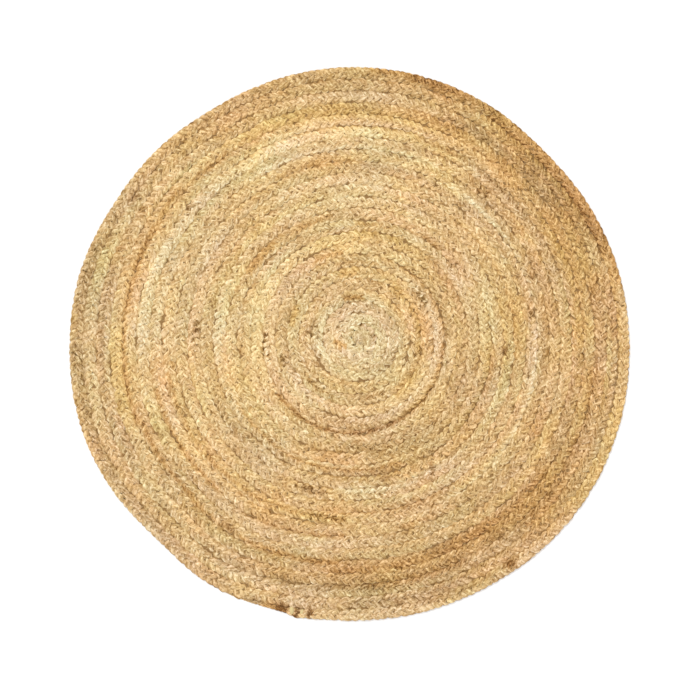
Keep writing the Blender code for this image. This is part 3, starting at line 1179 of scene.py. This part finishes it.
class JUTE_OT_binding(bpy.types.Operator):
    """Makes the turns of yarn that bind the braid's end to the rug"""

    bl_idname = "jute.binding"
    bl_label = "End Binding"

    def execute(self, context):
        degrees, start, end, radius, lean = np.array(BINDING).T[..., None]
        share = np.linspace(0, 1, BINDING_POINTS)
        level = start + (end - start) * share
        angle = np.radians(degrees + lean * (share - 0.5))
        # Each turn is a tube across the end, in an arch as half a sine wave makes it, and thinner at its ends
        arch = np.sin(math.pi * (ARCH_START + (1 - ARCH_START) * share)) * np.ones_like(level)
        height = BINDING_LOW + BINDING_ARCH * arch
        lines = np.concatenate([place(level, angle), height[..., None]], axis=-1)
        radius = radius * MM * (END_RADIUS + ARCH_RADIUS * arch)
        points, faces = tubes(lines, aside(towards(angle[:, 0])), radius, BINDING_SIDES)
        points[:, 2] = np.maximum(points[:, 2], CLEAR_OF_FLOOR)
        plain_finish(new_piece("end_binding", points, faces), "binding_yarn", colours().binding)
        return {"FINISHED"}


# Loose fibres, with the least and the most of each size
FIBRE_LENGTH = (0.008, 0.026)
FIBRE_CURL = (-0.35, 0.35)  # how far the tip lies aside, as a share of the length
FIBRE_LIFT = (0.0006, 0.0030)
FIBRE_RADIUS_MM = (0.08, 0.16)
FIBRE_TAPER = 0.7  # how much thinner the tip is, as a share of the radius
FIBRE_POINTS = 5
FIBRE_SIDES = 3
FIBRE_BOW = 0.8  # share of half a sine wave that a fibre rises and falls in
FIBRE_ROOT = 0.0002  # how deep it begins under the strand's surface
ROOTS_ABOVE = 0.8  # share of the strands' points that lie lower than any at which a fibre begins
ROOTS_UPWARDS = 0.5  # least upward part of the strand's normal there


class JUTE_OT_fibres(bpy.types.Operator):
    """Makes loose fibres, which stand out of the strands in low bows"""

    bl_idname = "jute.fibres"
    bl_label = "Loose Fibres"

    def execute(self, context):
        random = np.random.default_rng(9)
        count = sizes().fibres
        found, normals = [], []
        for name in (f"strand_{number + 1}_{part}" for number in range(STRANDS) for part in STRETCHES):
            mesh = bpy.data.objects[name].data
            where, facing = np.empty((2, len(mesh.vertices) * 3), np.float32)
            mesh.vertices.foreach_get("co", where)
            mesh.vertex_normals.foreach_get("vector", facing)
            found.append(where.reshape(-1, 3))
            normals.append(facing.reshape(-1, 3))
        found, normals = np.concatenate(found), np.concatenate(normals)
        crest = np.quantile(found[:, 2], ROOTS_ABOVE)
        top = np.flatnonzero((found[:, 2] > crest) & (normals[:, 2] > ROOTS_UPWARDS))
        root = found[random.choice(top, count, replace=False)]
        ahead = towards(random.uniform(0, TURN, count))
        left = aside(ahead)
        length = random.uniform(*FIBRE_LENGTH, count)
        curl = random.uniform(*FIBRE_CURL, count)
        lift = random.uniform(*FIBRE_LIFT, count)
        share = np.linspace(0, 1, FIBRE_POINTS)
        # A fibre goes straight on, curls aside with the square of its length and bows up as a sine wave does
        lines = (
            root[:, None]
            + (length[:, None] * share)[..., None] * ahead[:, None]
            + ((curl * length)[:, None] * share**2)[..., None] * left[:, None]
        )
        lines[..., 2] += lift[:, None] * np.sin(math.pi * share * FIBRE_BOW) - FIBRE_ROOT
        radius = random.uniform(*FIBRE_RADIUS_MM, count)[:, None] * MM * (1 - FIBRE_TAPER * share)
        points, faces = tubes(lines, left, radius, FIBRE_SIDES)
        plain_finish(new_piece("loose_fibres", points, faces), "jute_fibre", colours().fibre)
        return {"FINISHED"}


class JUTE_OT_lay(bpy.types.Operator):
    bl_idname = "jute.lay"
    bl_label = "Lay Rug"

    def execute(self, context):
        return {"FINISHED"}


FLOOR_SIZE = 60.0
FLOOR_DROP = 0.0003  # how far the floor lies under the rug
LAMP_TILT_DEG = (-28, -22, 0)
LAMP_SPREAD_DEG = 35
CLIP_END = 200


class JUTE_OT_stage(bpy.types.Operator):
    """Makes the floor, the light and the camera"""

    bl_idname = "jute.stage"
    bl_label = "Stage"

    def execute(self, context):
        scene = context.scene
        settings = scene.jute_stage
        corners = np.array([(-1, -1), (1, -1), (1, 1), (-1, 1)]) * FLOOR_SIZE / 2
        mesh = bpy.data.meshes.new("floor")
        mesh.from_pydata([(*corner, -FLOOR_DROP) for corner in corners], [], [(0, 1, 2, 3)])
        floor = bpy.data.objects.new("floor", mesh)
        scene.collection.objects.link(floor)
        plain_finish(floor, "pale_floor", settings.floor, FLOOR_ROUGHNESS)

        world = bpy.data.worlds.new("even_light")
        world.use_nodes = True
        sky = world.node_tree.nodes["Background"]
        sky.inputs["Color"].default_value = (1, 1, 1, 1)
        sky.inputs["Strength"].default_value = settings.sky
        scene.world = world
        lamp = bpy.data.lights.new("soft_lamp", "SUN")
        lamp.energy = settings.lamp
        lamp.angle = math.radians(LAMP_SPREAD_DEG)
        lamp_object = bpy.data.objects.new("soft_lamp", lamp)
        lamp_object.rotation_euler = [math.radians(tilt) for tilt in LAMP_TILT_DEG]
        scene.collection.objects.link(lamp_object)

        camera = bpy.data.cameras.new("camera")
        camera.lens = settings.lens
        distance = settings.view_width * camera.lens / camera.sensor_width
        camera.clip_end = CLIP_END
        camera_object = bpy.data.objects.new("camera", camera)
        camera_object.location = (*settings.view_middle, distance + RUG_BOX[1][2])
        scene.collection.objects.link(camera_object)
        scene.camera = camera_object
        scene.view_settings.view_transform = "Standard"
        return {"FINISHED"}


STEPS = (
    JUTE_OT_body,
    JUTE_OT_strands,
    JUTE_OT_thread,
    JUTE_OT_binding,
    JUTE_OT_fibres,
    JUTE_OT_lay,
    JUTE_OT_stage,
)


class JUTE_PT_panel(bpy.types.Panel):
    """The steps of the rug and its sizes and colours"""

    bl_label = "Jute Rug"
    bl_idname = "JUTE_PT_panel"
    bl_space_type = "VIEW_3D"
    bl_region_type = "UI"
    bl_category = "Jute rug"

    def draw(self, context):
        scene = context.scene
        for step in STEPS:
            self.layout.operator(step.bl_idname)
        for group in (scene.jute_sizes, scene.jute_colours, scene.jute_stage):
            box = self.layout.box()
            for name in group.bl_rna.properties.keys():
                if name not in ("rna_type", "name"):
                    box.prop(group, name)


CLASSES = (RugSizes, RugColours, StageSettings, *STEPS, JUTE_PT_panel)


def register():
    for one in CLASSES:
        bpy.utils.register_class(one)
    bpy.types.Scene.jute_sizes = bpy.props.PointerProperty(type=RugSizes)
    bpy.types.Scene.jute_colours = bpy.props.PointerProperty(type=RugColours)
    bpy.types.Scene.jute_stage = bpy.props.PointerProperty(type=StageSettings)


def unregister():
    del bpy.types.Scene.jute_stage
    del bpy.types.Scene.jute_colours
    del bpy.types.Scene.jute_sizes
    for one in reversed(CLASSES):
        bpy.utils.unregister_class(one)


def main():
    register()
    bpy.ops.jute.body()
    bpy.ops.jute.strands()
    bpy.ops.jute.thread()
    bpy.ops.jute.binding()
    bpy.ops.jute.fibres()
    bpy.ops.jute.lay()
    bpy.ops.jute.stage()


if __name__ == "__main__":
    main()
